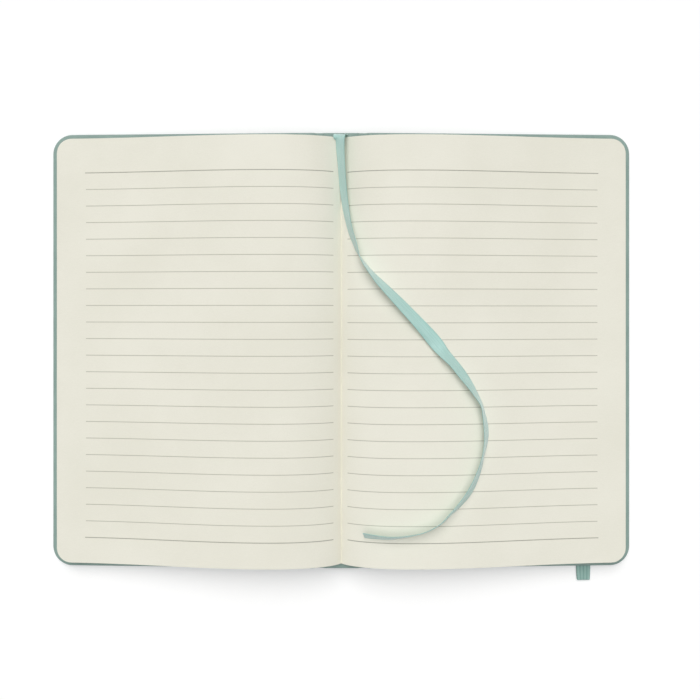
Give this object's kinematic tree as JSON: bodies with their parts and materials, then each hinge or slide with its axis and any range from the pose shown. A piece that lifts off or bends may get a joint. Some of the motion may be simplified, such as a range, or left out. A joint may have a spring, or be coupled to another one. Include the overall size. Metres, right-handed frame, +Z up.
{
  "type": "notebook",
  "caption": "Casebound ruled notebook lying open at its middle, with rounded corners, hinged cloth covers, a ribbon bookmark and an elastic closing band.",
  "frame": {"origin": "on the table under the middle of the spine, with the book lying open", "axes": "+X towards the back cover's fore-edge, +Y towards the head of the pages, +Z up"},
  "size_m": [0.283, 0.2191, 0.0265],
  "materials": {
    "pages": "uncoated cream writing paper with grey ruled lines",
    "endpaper": "uncoated cream endpaper",
    "lining": "white spine lining paper",
    "board": "grey binder's board",
    "cover_cloth": "matt dusty teal coated bookcloth with a fine grain",
    "elastic": "ribbed woven elastic, teal",
    "ribbon": "satin ribbon, light aqua"
  },
  "bodies": {
    "spine_and_leaves": {"text_block": "pages", "spine_lining": "lining", "spine_stiffener": "board", "spine_cloth": "cover_cloth", "front_flyleaf": "endpaper", "back_flyleaf": "endpaper", "ribbon_bookmark": "ribbon"},
    "front_cover": {"front_board": "board", "front_cover_cloth": "cover_cloth", "front_pastedown": "endpaper"},
    "back_cover": {"back_board": "board", "back_cover_cloth": "cover_cloth", "back_pastedown": "endpaper", "elastic_band": "elastic"}
  },
  "joints": [
    {"name": "front_cover_hinge", "type": "hinge", "parent": "spine_and_leaves", "child": "front_cover", "pos_m": [-0.0105, 0, 0.00605], "axis": [0, -1, 0], "range_deg": [0, 90]},
    {"name": "back_cover_hinge", "type": "hinge", "parent": "spine_and_leaves", "child": "back_cover", "pos_m": [0.0105, 0, 0.00605], "axis": [0, 1, 0], "range_deg": [0, 90]}
  ]
}
